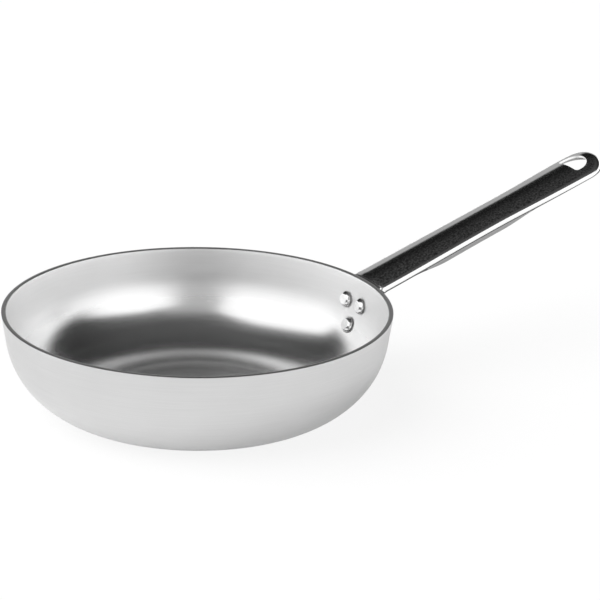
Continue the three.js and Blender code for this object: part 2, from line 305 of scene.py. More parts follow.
drill_rivet_holes(bowl)
smooth_by_angle(bowl, CRISP_FROM)
say_mesh(bowl)

# %% [markdown]
# ## The handle's section
# The handle is one sheet. Its top is a shallow crown, its shoulders are rounded over a small
# radius, and a short side wall hangs down on both sides. Along the middle of the shaft the
# wall curls under, so the edge doesn't press into a hand. Half of the section is worked
# out as a list of points, from the spine to the edge, and the other half mirrors it.
# A loft of hand-drawn sections would do as well, but then every section would have to be
# drawn again when the width changes. A formula keeps the radii true all along the shaft.

# %% Sizes of the shaft and its crown
CROWN_RISE = 5.6
TIP_CROWN_RISE = 4.4
SIDE_WALL = 1.0
TIP_SIDE_WALL = 0.6
ROOT_WIDTH = 34.8
WAIST_WIDTH = 32.8
TIP_WIDTH = 36.4
SHAFT_LENGTH = 191.2
NOSE_LENGTH = 19.0
TIP_RUN = 60.0

nose_centre = SHAFT_LENGTH - NOSE_LENGTH
half_widest = max(ROOT_WIDTH, WAIST_WIDTH, TIP_WIDTH) / 2


def smooth(t):
    """Eases from 0 to 1."""
    t = min(1.0, max(0.0, t))
    return t * t * (3 - 2 * t)


def mix(a, b, t):
    """Goes from a to b as t goes from 0 to 1."""
    return a + (b - a) * t


def form_at(s):
    """Radius of the crown and height of the side wall, at a distance s along the shaft."""
    tip = smooth((s - nose_centre + TIP_RUN) / TIP_RUN)
    rise = mix(CROWN_RISE, TIP_CROWN_RISE, tip)
    return (half_widest ** 2 + rise ** 2) / (2 * rise), mix(SIDE_WALL, TIP_SIDE_WALL, tip)


def crown_height(y, crown):
    """Height of the crown at a distance y from the spine, zero at the spine."""
    return math.sqrt(crown ** 2 - y ** 2) - crown


print(f"crown radius {form_at(0)[0]:.1f} mm, nose starts {nose_centre:.1f} mm along")

# %% Half a section of the folded sheet
EDGE_RADIUS = 2.5 + SHEET
LIP_RADIUS = 3.0 + SHEET
CROWN_STEPS = 10
EDGE_STEPS = 7
LIP_STEPS = 8
FOLD_LINE = 0.8
EDGE_STRIP = 0.3
STRIP_SHARE = 0.4
SOLVER_PASSES = 30


def shoulder_start(reach, share, crown):
    """Where the crown meets the shoulder, and its lean, on a line from spine to side."""
    start, lean = reach - EDGE_RADIUS, 0.0
    for _ in range(SOLVER_PASSES):
        y = start * share
        lean = math.atan(share * y / math.sqrt(crown ** 2 - y ** 2))
        start = reach - EDGE_RADIUS * (1 - math.sin(lean))
    return start, lean


def wall_foot(half_width, form):
    """Height of the lower edge of the side wall, straight across the handle."""
    crown, wall = form
    start, lean = shoulder_start(half_width, 1.0, crown)
    return crown_height(start, crown) - EDGE_RADIUS * math.cos(lean) - wall


def half_section(reach, share, crown, foot, lip_turn):
    """Points (t, n) from the spine to the edge: t away from the spine, n up from it."""
    start, lean = shoulder_start(reach, share, crown)
    hub_t = start - EDGE_RADIUS * math.sin(lean)
    hub_n = crown_height(start * share, crown) - EDGE_RADIUS * math.cos(lean)
    wall = hub_n - foot
    points = [(t, crown_height(t * share, crown)) for t in steps(0, start, CROWN_STEPS)]
    for angle in steps(lean, math.pi / 2, EDGE_STEPS)[1:]:
        points.append((hub_t + EDGE_RADIUS * math.sin(angle), hub_n + EDGE_RADIUS * math.cos(angle)))
    lip_run = wall + LIP_RADIUS * lip_turn
    widest_strip = STRIP_SHARE * lip_run
    fold_end = min(FOLD_LINE, widest_strip)
    edge_start = lip_run - min(EDGE_STRIP, widest_strip)
    for run in steps(fold_end, edge_start, LIP_STEPS - 2) + [lip_run]:
        turn = max(0.0, run - wall) / LIP_RADIUS
        inwards = LIP_RADIUS * (1 - math.cos(turn))
        points.append((reach - inwards, hub_n - min(run, wall) - LIP_RADIUS * math.sin(turn)))
    return points


print("shoulder radius", EDGE_RADIUS, "mm, lip radius", LIP_RADIUS, "mm")

# %% Width and lip along the shaft
LIP_TURN = math.radians(80)
LIP_FROM_BEND = 22.0
LIP_FROM_TIP = 62.0
LIP_RUN_IN = 45.0
LIP_RUN_OUT = 50.0


def half_width_at(s):
    """Half the shaft's width, waisted between the bend and the nose."""
    waist_at = (LIP_FROM_BEND + nose_centre) / 2
    if s < waist_at:
        return mix(WAIST_WIDTH, ROOT_WIDTH, smooth(1 - s / waist_at)) / 2
    return mix(WAIST_WIDTH, TIP_WIDTH, smooth((s - waist_at) / (nose_centre - waist_at))) / 2


def lip_turn_at(s):
    """How far the side wall curls under, which is most in the middle of the shaft."""
    run_in = smooth((s - LIP_FROM_BEND) / LIP_RUN_IN)
    run_out = smooth((SHAFT_LENGTH - LIP_FROM_TIP - s) / LIP_RUN_OUT)
    return LIP_TURN * run_in * run_out


def shaft_section(s):
    """Half a section of the shaft at a distance s from the bend."""
    half_width = half_width_at(s)
    form = form_at(s)
    return half_section(half_width, 1.0, form[0], wall_foot(half_width, form), lip_turn_at(s))


root_section = shaft_section(0.0)
last_column = len(root_section) - 1
print(f"half a section has {last_column + 1} points")

# %% [markdown]
# ## From tongue to nose
# The sheet is described as rows that run across it. The first rows are the tongue, which
# hugs the bowl with an even margin round the rivets. Then the sheet bends away from the wall
# and folds into the shaft's section at the same time. The shaft follows in a straight line,
# and at the nose the rows fan out, so the side wall wraps round the end.

# %% Frames along the handle
SLOPE = math.radians(18)
TAIL_TO_EDGE = 4.2
TAIL_TO_FOLD = 0.5
FOLD_RUN = 5.8
LIP_BEND_RADIUS = 1.7

tongue_margin = TAIL_RADIUS + TAIL_TO_EDGE
fold_start = upper_depth - TAIL_RADIUS - TAIL_TO_FOLD
bend_depth = fold_start - FOLD_RUN
shaft_lean = math.pi / 2 - SLOPE
tongue_bend = LIP_BEND_RADIUS - wall_foot(half_width_at(0.0), form_at(0.0))


def axes(lean):
    """Directions along the sheet and up from its top face, at a lean from upright."""
    along = Vector((math.sin(lean), 0, math.cos(lean)))
    up = Vector((-math.cos(lean), 0, math.sin(lean)))
    return along, up


def wall_frame(depth):
    """Frame on the bowl's outside, with the handle's clearance to it."""
    x, z, lean = wall_point(depth, CLEARANCE)
    return (Vector((x, 0, z)), *axes(lean))


bend_origin, _, bend_up = wall_frame(bend_depth)
bend_hub = bend_origin - bend_up * tongue_bend
wall_lean = wall_point(bend_depth)[2]


def bend_frame(lean):
    """Frame on the bend that carries the sheet from the wall's lean to the shaft's."""
    along, up = axes(lean)
    return bend_hub + up * tongue_bend, along, up


def shaft_frame(s):
    """Frame on the straight shaft, at a distance s from the bend."""
    origin, along, up = bend_frame(shaft_lean)
    return origin + along * s, along, up


print("shaft starts at", [round(c, 1) for c in shaft_frame(0)[0]])

# %% Outline and rows of the tongue
CAP_SPREAD = math.radians(38)

edge_lean = math.atan2(half_pitch, row_drop)


def section_shares(section):
    """How far along the section each point lies, from 0 at the spine to 1 at the edge."""
    runs = [0.0]
    for before, after in zip(section, section[1:]):
        runs.append(runs[-1] + math.dist(before, after))
    return [run / runs[-1] for run in runs]


shares = section_shares(root_section)


def tongue_half_width(depth):
    """Half the width of the tongue, whose edge keeps an even margin round the rivets."""
    if depth >= upper_depth + tongue_margin * math.sin(edge_lean):
        return (lower_depth - depth) * math.tan(edge_lean) + tongue_margin / math.cos(edge_lean)
    below = max(0.0, depth - upper_depth)
    return half_pitch + math.sqrt(tongue_margin ** 2 - below ** 2)


def on_wall(depth, across):
    """Point on the bowl's outside, a distance across from the handle's centre line."""
    x, z, _ = wall_point(depth, CLEARANCE)
    return Matrix.Rotation(across / x, 3, "Z") @ Vector((x, 0, z))


def cap_row(roundness):
    """Row of the tongue's round end: a straight line at 0, the end's own arc at 1."""
    spread = mix(math.pi / 2 - edge_lean, CAP_SPREAD, roundness)

    def at(side, j):
        angle = spread * shares[j]
        across = mix(math.sin(spread) * shares[j], math.sin(angle), roundness)
        down = mix(math.cos(spread), math.cos(angle), roundness)
        return on_wall(lower_depth + tongue_margin * down, side * tongue_margin * across)

    return at


print(f"the tongue's sides lean {math.degrees(edge_lean):.1f} degrees")

# %% Rows of the fold and the shaft
FOLD_EASE = 3

fold_length = FOLD_RUN + tongue_bend * (shaft_lean - wall_lean)


def section_row(section, place, fan=0.0):
    """Row of the shaft or the nose, whose two halves may fan towards the tip."""
    origin, along, up = place

    def at(side, j):
        t, n = section[j]
        sideways = Vector((0, side * t * math.cos(fan), 0))
        return origin + sideways + along * (t * math.sin(fan)) + up * n

    return at


def folding_row(place, half_width, run):
    """Row between the flat tongue and the folded shaft."""
    flat = 1 - min(1.0, max(0.0, run / fold_length))
    fold = smooth(1 - flat ** FOLD_EASE)
    folded = section_row(root_section, place)
    origin = place[0]

    def at(side, j):
        turn = side * shares[j] * half_width / origin.x
        hugging = Matrix.Rotation(turn, 3, "Z") @ origin
        return hugging.lerp(folded(side, j), fold)

    return at


print(f"the sheet folds over {fold_length:.1f} mm")

# %% All rows, from the tongue to the nose
CAP_ROWS = 7
RIVET_ROWS = 20
FOLD_ROWS = 8
BEND_ROWS = 14
SHAFT_ROWS = 72
NOSE_ROWS = 26
NOSE_SQUARENESS = 2.2


def tongue_rows():
    """Rows from the tongue's round end up to the start of the bend."""
    cap_end = lower_depth + tongue_margin * math.sin(edge_lean)
    rows = [cap_row(roundness) for roundness in steps(1, 0, CAP_ROWS)]
    depths = steps(cap_end, fold_start, RIVET_ROWS)[1:]
    depths += steps(fold_start, bend_depth, FOLD_ROWS)[1:]
    for depth in depths:
        rows.append(folding_row(wall_frame(depth), tongue_half_width(depth), fold_start - depth))
    return rows


def bend_rows():
    """Rows round the bend, where the sheet leaves the wall."""
    width = tongue_half_width(bend_depth)
    return [
        folding_row(bend_frame(lean), width, FOLD_RUN + tongue_bend * (lean - wall_lean))
        for lean in steps(wall_lean, shaft_lean, BEND_ROWS)[1:]
    ]


def nose_row(fan):
    """Row that runs from the nose's centre to its rounded outline."""
    crown, wall = form_at(nose_centre)
    foot = wall_foot(TIP_WIDTH / 2, (crown, wall))
    share = max(0.0, math.cos(fan))
    across = (share / (TIP_WIDTH / 2)) ** NOSE_SQUARENESS
    ahead = (math.sin(fan) / NOSE_LENGTH) ** NOSE_SQUARENESS
    reach = (across + ahead) ** (-1 / NOSE_SQUARENESS)
    return section_row(half_section(reach, share, crown, foot, 0.0), shaft_frame(nose_centre), fan)


def shaft_rows():
    """Rows along the shaft and round the nose."""
    rows = [
        section_row(shaft_section(s), shaft_frame(s))
        for s in steps(0, nose_centre, SHAFT_ROWS)[1:]
    ]
    return rows + [nose_row(fan) for fan in steps(0, math.pi / 2, NOSE_ROWS)[1:]]


handle_rows = tongue_rows() + bend_rows() + shaft_rows()
print(f"the sheet has {len(handle_rows)} rows of {2 * last_column + 1} points")

# %% [markdown]
# ## Pressing the sheet
# A flat grid is the blank that is cut from the sheet. It has one row of points for each row
# worked out above, and pressing it means that each point is moved to its place. Points that
# meet at the nose are then merged. The blank's width is laid along Y and its length along X,
# which turns its faces down, so they are flipped to look up, and Solidify gives the sheet its
# thickness downwards. The cut edge all round is rounded with a bevel, as tumbling leaves it.
#
# The sheet will have four finishes, and each face is marked for its own on the way. The
# crown has a peel, whose dark mottle on the near half is painted reflection, and the shoulders
# are polished smooth. The lip and the underside keep the grey of the rolled sheet, made darker
# still as painted shade. The fold above the lip and the cut edge are painted near-black as
# painted shade, and the start of the bend behind the rim as a painted dark reflection.

# %% Mark the blank and press it
SHEET_MERGE = 0.002
# The near-black finish is painted shade along the fold and the cut edge, and a painted dark
# reflection at the start of the bend.
PEELED, ROLLED_GREY_AND_SHADE, PAINTED_SHADE, POLISHED = range(4)
LIP_SHOWS = math.radians(8)
PAINTED_SHADE_BEND = 0.6
POLISHED_BEND = 1 / 3

bend_from = len(tongue_rows())
shaft_from = bend_from + BEND_ROWS


def open_slots(piece, count):
    """Gives a piece empty material slots, so that its faces can be marked for a finish."""
    for _ in range(count):
        piece.data.materials.append(None)


def handle_finish_at(row, column):
    """The finish of a face, by its row and by its column counted from the spine."""
    past_shoulder = column - CROWN_STEPS - EDGE_STEPS
    round_bend = (row - bend_from) / BEND_ROWS
    curled = lip_turn_at((row - shaft_from) / SHAFT_ROWS * nose_centre) > LIP_SHOWS
    # Past the shoulder, the fold line and an uncurled side wall are painted shade, and the curled
    # lip takes the rolled grey with painted shade.
    if round_bend > 0 and past_shoulder > 0:
        return ROLLED_GREY_AND_SHADE if curled and past_shoulder > 1 else PAINTED_SHADE
    if round_bend > POLISHED_BEND and past_shoulder > -EDGE_STEPS:
        return POLISHED
    # The start of the bend behind the rim is painted near-black, a painted dark reflection.
    return PAINTED_SHADE if 0 < round_bend < PAINTED_SHADE_BEND else PEELED


def blank_cell(place):
    """Row and column of a place on the blank, which is 1 long and 1 wide."""
    return (place.y + 0.5) * (len(handle_rows) - 1), place.x * 2 * last_column


bpy.ops.mesh.primitive_grid_add(
    x_subdivisions=2 * last_column, y_subdivisions=len(handle_rows) - 1, size=1
)
handle = bpy.context.object
handle.name = handle.data.name = "folded_handle"
open_slots(handle, POLISHED + 1)
for face in handle.data.polygons:
    row, column = blank_cell(face.center)
    face.material_index = handle_finish_at(row, abs(column))
for vertex in handle.data.vertices:
    row, column = map(round, blank_cell(vertex.co))
    side = 1 if column > 0 else -1
    vertex.co = handle_rows[row](side, abs(column)) * MM

switch_to("EDIT")
bpy.ops.mesh.select_all(action="SELECT")
bpy.ops.mesh.remove_doubles(threshold=SHEET_MERGE * MM)
bpy.ops.mesh.flip_normals()
switch_to("OBJECT")
say_mesh(handle)

# %% Give the sheet its thickness and round its edge
EDGE_ROUNDING = 0.16
SHARP_EDGE = math.radians(60)

top_faces = len(handle.data.polygons)
thicken = handle.modifiers.new("sheet", "SOLIDIFY")
thicken.thickness = SHEET * MM
thicken.offset = -1
thicken.use_even_offset = True
thicken.use_quality_normals = True
bpy.ops.object.modifier_apply(modifier=thicken.name)
# The underside takes the rolled grey with painted shade, and the cut edge is painted shade.
for face in handle.data.polygons[top_faces:]:
    face.material_index = ROLLED_GREY_AND_SHADE if face.index < 2 * top_faces else PAINTED_SHADE

switch_to("EDIT")
bpy.ops.mesh.select_mode(type="EDGE")
bpy.ops.mesh.select_all(action="DESELECT")
bpy.ops.mesh.edges_select_sharp(sharpness=SHARP_EDGE)
bpy.ops.mesh.bevel(offset=EDGE_ROUNDING * MM, segments=2, profile=0.5, affect="EDGES")
switch_to("OBJECT")
say_mesh(handle)

# %% [markdown]
# ## The hanging hole
# The hole near the tip is straight towards the pan and half round towards the tip. Its
# cutter starts as a plane of the hole's size. Bevelling the plane's corner points rounds
# them: the two tip corners by half the width, which makes the half circle, and the other
# two by a small radius. The outline is then extruded through the sheet.

# %% Punch the hanging hole and drill the tongue
HOLE_TO_SIDE = 7.7
HOLE_TO_TIP = 8.6
HOLE_STRAIGHT = 4.1
HOLE_CORNER_RADIUS = 2.5
PUNCH_DEPTH = 24.0
PUNCH_MERGE = 0.01

hole_half = TIP_WIDTH / 2 - HOLE_TO_SIDE
hole_end = SHAFT_LENGTH - HOLE_TO_TIP
hole_start = hole_end - hole_half - HOLE_STRAIGHT


def round_corners(piece, end, radius):
    """Rounds the two corner points at one end of the punch: max is the tip end, min the other."""
    corner_x = end(v.co.x for v in piece.data.vertices)
    at_end = PUNCH_MERGE * MM
    pick(piece, "VERT", piece.data.vertices, lambda v: abs(v.co.x - corner_x) < at_end)
    bpy.ops.mesh.bevel(offset=radius * MM, segments=16, profile=0.5, affect="VERTICES")
    bpy.ops.mesh.select_all(action="SELECT")
    bpy.ops.mesh.remove_doubles(threshold=PUNCH_MERGE * MM)
    switch_to("OBJECT")


bpy.ops.mesh.primitive_plane_add(size=1)
punch = bpy.context.object
bpy.ops.transform.resize(value=((hole_end - hole_start) * MM, 2 * hole_half * MM, 1))
bpy.ops.object.transform_apply(location=False, rotation=False, scale=True)
round_corners(punch, max, hole_half)
round_corners(punch, min, HOLE_CORNER_RADIUS)
switch_to("EDIT")
bpy.ops.mesh.select_all(action="SELECT")
bpy.ops.mesh.extrude_region_move(TRANSFORM_OT_translate={"value": (0, 0, PUNCH_DEPTH * MM)})
close_skin(PUNCH_MERGE)
switch_to("OBJECT")
origin, along, up = shaft_frame((hole_start + hole_end) / 2)
turn = Matrix((along, (0, 1, 0), up)).transposed().to_4x4()
lower = Matrix.Translation((0, 0, -PUNCH_DEPTH / 2 * MM))
punch.matrix_world = Matrix.Translation(origin * MM) @ turn @ lower
bpy.context.view_layer.update()
cut_away(handle, punch)
drill_rivet_holes(handle)
smooth_by_angle(handle, CRISP_FROM)
say_mesh(handle)

# %% [markdown]
# ## Solid rivets
# A rivet starts as a turned blank: a head with a flat face, a flank that slopes at 45 degrees
# and a short upright foot, then a shank, and a tail that is hammered to a dome on the outside
# of the handle. The head's underside meets the hollow wall at its edge. The faces of the foot
# are marked, because they get painted shade, a darker grey for where the head meets the wall.
# One blank is turned, and each of the three rivets is a copy of it with its own mesh, laid in
# its place.

# %% Turn one rivet and set the three in place
RIVET_SIDES = 64
ARC_STEPS = 8
HEAD_FACE = 3.3
FACE_RINGS = (0.5, 0.95)
HEAD_FLANK = ((15, 0.25), (30, 0.25), (45, 2.2), (65, 0.2), (90, 0.5))
TAIL_HEIGHT = 1.8
CENTRE_DOT = 0.1
SEAT_LIFT = 0.05
FOOT_FROM = 0.9
RIVET_CRISP_FROM = 40

head_seat = -HEAD_RADIUS ** 2 / (2 * inner_bend)
head_height = sum(run * math.sin(math.radians(lean)) for lean, run in HEAD_FLANK)
head_top = head_seat - CLEARANCE - head_height
head_flank = [(HEAD_FACE, head_top)]
for lean, run in HEAD_FLANK:
    radius, height = head_flank[-1]
    fall = math.radians(lean)
    head_flank.append((radius + run * math.cos(fall), height + run * math.sin(fall)))
underside = head_seat - SEAT_LIFT
tail_foot = grip + CLEARANCE
tail_arc = [
    (TAIL_RADIUS * math.cos(a), tail_foot + TAIL_HEIGHT * math.sin(a))
    for a in steps(0, math.pi / 2, ARC_STEPS)[:-1]
]
rivet_section = [(CENTRE_DOT, head_top)] + [(HEAD_FACE * share, head_top) for share in FACE_RINGS]
rivet_section += head_flank + [(HEAD_RADIUS, underside), (SHANK_RADIUS, underside)]
rivet_section += [(SHANK_RADIUS, grip), (TAIL_RADIUS, grip)] + tail_arc
rivet_section += [(CENTRE_DOT, tail_foot + TAIL_HEIGHT)]
rivet_blank = turn_on_lathe("solid_rivet", rivet_section, RIVET_SIDES)
open_slots(rivet_blank, 2)
foot_top = head_flank[-2][1] * MM
# The foot's faces take the second slot, a darker grey that is painted shade where the head meets the
# wall.
for face in rivet_blank.data.polygons:
    at_edge = face.center.to_2d().length > FOOT_FROM * HEAD_RADIUS * MM
    face.material_index = int(at_edge and foot_top < face.center.z < 0)
smooth_by_angle(rivet_blank, RIVET_CRISP_FROM)

rivets = {}
for node, seat in RIVET_SEATS.items():
    only(rivet_blank)
    bpy.ops.object.duplicate(linked=False)
    rivet = bpy.context.object
    rivet.name = node.replace("rivet", "solid_rivet")
    rivet.data.name = rivet.name
    rivet.matrix_world = rivet_place(*seat)
    bpy.ops.object.transform_apply(location=True, rotation=True, scale=True)
    rivets[node] = rivet
    say_mesh(rivet)
bpy.data.objects.remove(rivet_blank, do_unlink=True)

# %% [markdown]
# ## A small kit for node materials
# A material is a tree of nodes. These helpers add a node, wire one socket to another and do
# a sum on a value, so that each finish below reads as a short recipe. All patterns start
# from Object coordinates, which are metres in the pan's own frame, so they stay in place.

# %% Helpers for node trees


class Recipe:
    """A node tree of a material or a world, with short words for adding and wiring nodes."""

    def __init__(self, owner, shader="Principled BSDF", place="Object"):
        self.owner = owner
        self.owner.use_nodes = True
        self.tree = self.owner.node_tree
        self.shader = self.tree.nodes[shader]
        self.place = self.add("ShaderNodeTexCoord").outputs[place]

    def add(self, kind, **settings):
        """Adds a node and sets its properties."""
        node = self.tree.nodes.new(kind)
        for key, value in settings.items():
            setattr(node, key, value)
        return node

    def wire(self, source, socket):
        """Links a source to a socket, or sets the socket to a plain value."""
        if isinstance(source, bpy.types.NodeSocket):
            self.tree.links.new(source, socket)
        else:
            socket.default_value = source

    def fill(self, node, **sockets):
        """Wires or sets a node's sockets by name."""
        for name, value in sockets.items():
            self.wire(value, node.inputs[name.replace("_", " ")])
        return node

    def work(self, kind, operation, values):
        """A node that does one operation on the values."""
        node = self.add(kind, operation=operation)
        for value, socket in zip(values, node.inputs):
            self.wire(value, socket)
        return node

    def sum(self, operation, *values):
        """A Math node on one to three values."""
        return self.work("ShaderNodeMath", operation, values).outputs[0]

    def vector(self, operation, *values):
        """A Vector Math node on one or two vectors."""
        gives_number = operation in ("LENGTH", "DOT_PRODUCT")
        node = self.work("ShaderNodeVectorMath", operation, values)
        return node.outputs["Value" if gives_number else "Vector"]

    def along(self, direction):
        """How far the place lies in a direction."""
        return self.vector("DOT_PRODUCT", self.place, direction)

    def flat(self):
        """The place with its height left out."""
        return self.vector("MULTIPLY", self.place, (1, 1, 0))

    def noise(self, vector, scale, detail=2.0, roughness=0.5):
        """Soft random values from 0 to 1."""
        node = self.add("ShaderNodeTexNoise", noise_dimensions="3D")
        self.fill(node, Vector=vector, Scale=scale, Detail=detail, Roughness=roughness)
        return node.outputs["Fac"]

    def ramp(self, value, kind, **limits):
        """A Map Range node, clamped, with its limits by name."""
        node = self.add("ShaderNodeMapRange", interpolation_type=kind, clamp=True)
        return self.fill(node, Value=value, **limits).outputs["Result"]

    def spread(self, value, low, high):
        """Maps a noise, which mostly lies between 0.3 and 0.7, to low and high."""
        return self.ramp(value, "LINEAR", From_Min=0.3, From_Max=0.7, To_Min=low, To_Max=high)

    def fade(self, value, dark_at, light_at):
        """A smooth step from 0 to 1, as a value goes from dark_at to light_at."""
        return self.ramp(value, "SMOOTHSTEP", From_Min=dark_at, From_Max=light_at)

    def tint(self, value, dark, light):
        """A grey that goes from dark to light with a value."""
        node = self.add("ShaderNodeMix", data_type="RGBA")
        self.wire(value, node.inputs["Factor"])
        colours = [socket for socket in node.inputs if socket.type == "RGBA"]
        for grey, socket in zip((dark, light), colours):
            socket.default_value = (grey, grey, grey, 1.0)
        return [socket for socket in node.outputs if socket.type == "RGBA"][0]

    def bump(self, height, strength, distance, **under):
        """Tilts the shading normal, or the normal of a bump under it, by a height pattern."""
        node = self.add("ShaderNodeBump")
        self.fill(node, Strength=strength, Distance=distance, Height=height, **under)
        return node.outputs["Normal"]

    def finish(self, **sockets):
        """Wires the shader's sockets by name and returns the material or world."""
        self.fill(self.shader, **sockets)
        return self.owner


print("node kit ready")

# %% [markdown]
# ## Turned aluminium
# The bowl is finished on a lathe with an abrasive, which leaves thousands of fine grooves
# round the axis. Each groove shows faintly as a ring, and all together they spread a
# reflection across the grooves, so a lamp becomes a streak from the centre to the rim. The
# rings are noise that is stretched round the axis: its coordinates are the direction from the
# axis, which changes slowly, and the way along the section, which changes fast. The spread is
# the shader's anisotropy, with a tangent that runs round the axis. The bend inside is smooth
# enough to show soft pictures of the lamps, the floor is a little finer still, and the wall
# gets more matt towards the rim. The outside is left matt, as the press and a light blasting
# made it, and its darker grey is painted shade for the shaded floor that it mirrors. The rim's
# cut face is darker.

# %% Finish of the bowl: inside, outside and rim
RING_PITCH = 0.9
RING_ARC = 3.0
SCRATCH_PITCH = 0.6 * RING_PITCH
SCRATCH_ARC = 22.0
WIDE_RING_PITCH = 7.0
WIDE_RING_ARC = 1.2
GROOVE_BUMP = (0.10, 0.02 * MM)
CLOUD = (14.0, 3.0)
RING_SHADE = 0.4
CLOUD_SHADE = 0.6
UNEVEN = 0.02
MATT_WALL = (25 * MM, 54 * MM)
FINE_FLOOR = (12 * MM, 4 * MM)
QUARTER_TURN = 0.25


def turned_aluminium(name, dark, light, rough, anisotropy, matt_top=0.0, fine_floor=0.0):
    """Aluminium with rings round the Z axis, which may be finer low down and matt on top."""
    recipe = Recipe(bpy.data.materials.new(name))
    height = recipe.along((0, 0, 1))
    flat = recipe.flat()
    around = recipe.vector("NORMALIZE", flat)
    outwards = recipe.sum("ADD", recipe.vector("LENGTH", flat), height)

    def rings(pitch, arc):
        """Noise that changes over a pitch across the grooves and over an arc along them."""
        across = recipe.add("ShaderNodeCombineXYZ")
        recipe.fill(across, Z=recipe.sum("MULTIPLY", outwards, 1 / (pitch * MM)))
        scaled = recipe.vector("MULTIPLY", around, (arc, arc, arc))
        return recipe.noise(recipe.vector("ADD", scaled, across.outputs[0]), 1.0)

    fine = rings(RING_PITCH, RING_ARC)
    scratches = rings(SCRATCH_PITCH, SCRATCH_ARC)
    wide = rings(WIDE_RING_PITCH, WIDE_RING_ARC)
    cloud = recipe.sum("MULTIPLY", recipe.noise(recipe.place, *CLOUD), CLOUD_SHADE)
    shade = recipe.sum("MULTIPLY_ADD", fine, RING_SHADE, cloud)
    uneven = [recipe.spread(pattern, -UNEVEN, UNEVEN) for pattern in (scratches, wide)]
    uneven = recipe.sum("ADD", *uneven)
    uneven = recipe.sum("MULTIPLY_ADD", recipe.fade(height, *MATT_WALL), matt_top, uneven)
    uneven = recipe.sum("MULTIPLY_ADD", recipe.fade(height, *FINE_FLOOR), -fine_floor, uneven)
    return recipe.finish(
        Base_Color=recipe.tint(recipe.spread(shade, 0.0, 1.0), dark, light),
        Roughness=recipe.sum("ADD", uneven, rough),
        Metallic=1.0,
        Normal=recipe.bump(recipe.sum("ADD", fine, scratches), *GROOVE_BUMP),
        Tangent=recipe.vector("CROSS_PRODUCT", (0, 0, 1), around),
        Anisotropic=anisotropy,
        Anisotropic_Rotation=QUARTER_TURN,
    )


bowl_finishes = [
    turned_aluminium(
        "turned_inside", 0.90, 0.96, rough=0.22, anisotropy=0.2, matt_top=0.28, fine_floor=0.03
    ),
    # The outside's low grey is painted shade, and its roughness is the real matt finish.
    turned_aluminium("matt_outside_painted_shade", 0.63, 0.69, rough=0.45, anisotropy=0.4),
    turned_aluminium("cut_rim", 0.44, 0.54, rough=0.30, anisotropy=0.2),
]
print("made", [finish.name for finish in bowl_finishes])

# %% [markdown]
# ## Tumbled stainless steel
# The handle is pressed from a bright sheet and then tumbled, which leaves a mirror with a
# fine skin like orange peel, about a millimetre from hump to hump. Two sizes of noise give
# the skin, and a faint one along the shaft stands for the rolling marks of the sheet. The
# peel shows on the near half of the crown and fades out at the spine, and its dark pits in
# the colour there are painted reflection mottle. The lip, the underside and the cut edge get
# plainer steels, which are darker and less bright: the rolled grey is made darker as painted
# shade, and the near-black steel is painted shade.

# %% Finish of the handle
PEEL_PITCH = 1.3
PEEL_NOISE = (1 / (PEEL_PITCH * MM), 2.0, 0.55)
PEEL_STRENGTH = 0.8
PEEL_ROUGH = (0.09, 0.16)
PEEL_EDGE = 3 * MM
SWELL_PITCH = 6 * PEEL_PITCH
SWELL_BUMP = (0.15, 0.15 * MM)
BRIGHT_GRAIN = (30, 1200, 1200)
GRAIN_UNEVEN = 0.02
PLAIN_GRAIN = (40, 1500, 1500)
PLAIN_GRAIN_BUMP = (0.15, 0.04 * MM)
PLAIN_SKIN_SCALE = 900.0
PLAIN_UNEVEN = 0.05


def rolled_grain(recipe, scale, detail):
    """Noise that is drawn out along the shaft, as rolling leaves it."""
    grain = recipe.add("ShaderNodeMapping", vector_type="POINT")
    recipe.fill(grain, Vector=recipe.place, Rotation=(0, SLOPE, 0), Scale=scale)
    return recipe.noise(grain.outputs["Vector"], 1.0, detail)


def tumbled_steel(name, dark, light, peel_depth):
    """Bright steel, with an orange-peel skin and painted reflection mottle on the near half."""
    recipe = Recipe(bpy.data.materials.new(name))
    peel = recipe.noise(recipe.place, *PEEL_NOISE)
    swell = recipe.noise(recipe.place, 1 / (SWELL_PITCH * MM))
    rolled = rolled_grain(recipe, BRIGHT_GRAIN, 2.0)
    near_half = recipe.fade(recipe.along((0, 1, 0)), PEEL_EDGE, -PEEL_EDGE)
    # The dark pits in the colour, on the near half only, are painted reflection mottle.
    painted_mottle = recipe.sum("MULTIPLY", recipe.spread(peel, 1.0, 0.0), near_half)
    humps = recipe.sum("MULTIPLY", peel, near_half)
    normal = recipe.bump(humps, PEEL_STRENGTH, peel_depth * MM)
    uneven = recipe.spread(rolled, -GRAIN_UNEVEN, GRAIN_UNEVEN)
    return recipe.finish(
        Base_Color=recipe.tint(painted_mottle, light, dark),
        Roughness=recipe.sum("ADD", recipe.spread(peel, *PEEL_ROUGH), uneven),
        Metallic=1.0,
        Normal=recipe.bump(swell, *SWELL_BUMP, Normal=normal),
    )


def plain_steel_and_shade(name, dark, light, rough):
    """Darker steel with the grain of the rolled sheet, for unpolished grey and painted shade."""
    recipe = Recipe(bpy.data.materials.new(name))
    rolled = rolled_grain(recipe, PLAIN_GRAIN, 3.0)
    skin = recipe.noise(recipe.place, PLAIN_SKIN_SCALE)
    shade = recipe.sum("MULTIPLY", recipe.sum("ADD", rolled, skin), 0.5)
    uneven = recipe.spread(skin, -PLAIN_UNEVEN, PLAIN_UNEVEN)
    return recipe.finish(
        Base_Color=recipe.tint(recipe.spread(shade, 0.0, 1.0), dark, light),
        Roughness=recipe.sum("ADD", uneven, rough),
        Metallic=1.0,
        Normal=recipe.bump(rolled, *PLAIN_GRAIN_BUMP),
    )


